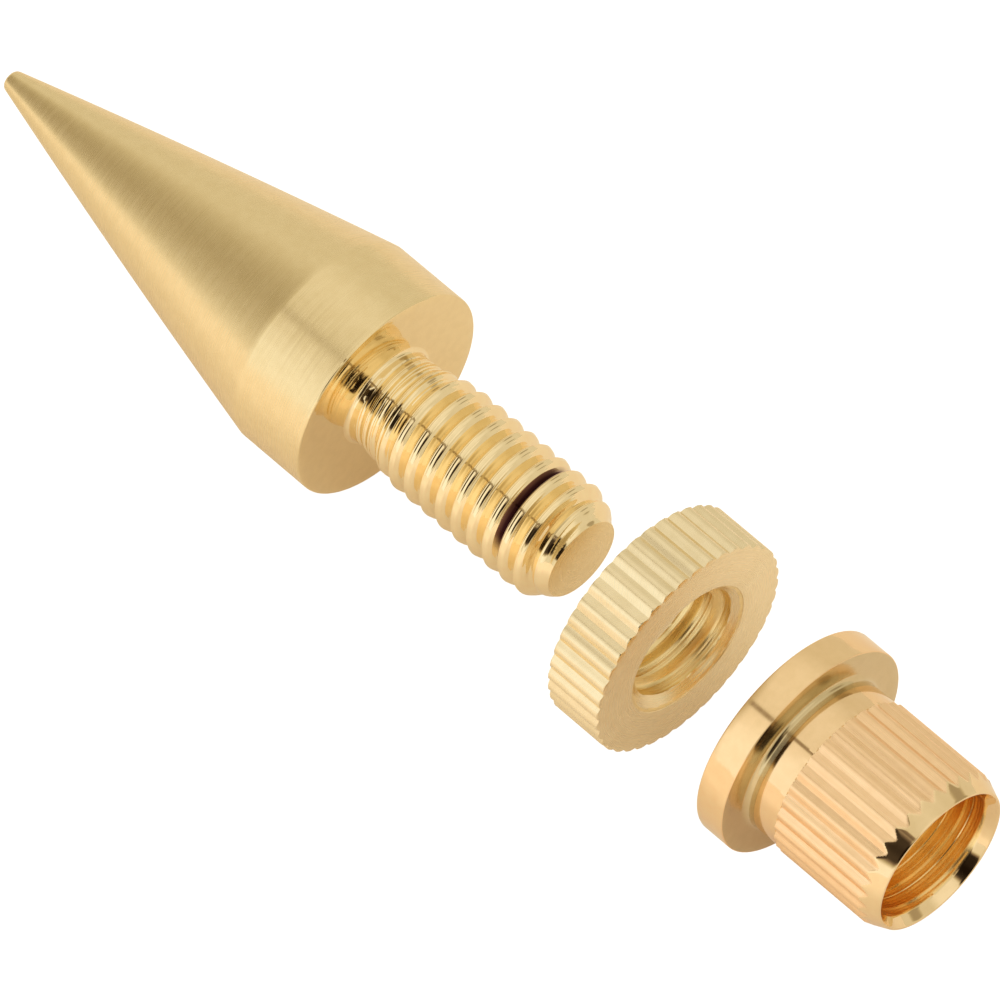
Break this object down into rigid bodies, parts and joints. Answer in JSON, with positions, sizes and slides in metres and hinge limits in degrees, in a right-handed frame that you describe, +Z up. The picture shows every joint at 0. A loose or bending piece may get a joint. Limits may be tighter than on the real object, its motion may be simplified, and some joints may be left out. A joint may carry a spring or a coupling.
{
  "type": "speaker isolation spike",
  "caption": "Brass isolation spike with a threaded stud, knurled lock nut and knurled press-in insert, laid out apart on one axis.",
  "frame": {"origin": "on the surface that the pieces lie on, below the middle of the row of pieces", "axes": "+X along the common axis of the pieces, from the spike's tip towards the insert; +Z up from the surface that their rims lie on"},
  "size_m": [0.0598, 0.0114, 0.0114],
  "materials": {
    "satin_brass": "satin turned brass, with a polished thread",
    "pale_brass": "satin pale brass, knurled rim",
    "warm_brass": "polished warm brass, knurled barrel"
  },
  "bodies": {
    "spike": {"spike": "satin_brass"},
    "lock_nut": {"lock_nut": "pale_brass"},
    "threaded_insert": {"threaded_insert": "warm_brass"}
  },
  "joints": [
    {"name": "nut_travel", "type": "slide", "parent": "spike", "child": "lock_nut", "axis": [-1, 0, 0], "range_m": [0, 0.016]},
    {"name": "insert_travel", "type": "slide", "parent": "lock_nut", "child": "threaded_insert", "axis": [-1, 0, 0], "range_m": [0, 0.006]}
  ]
}
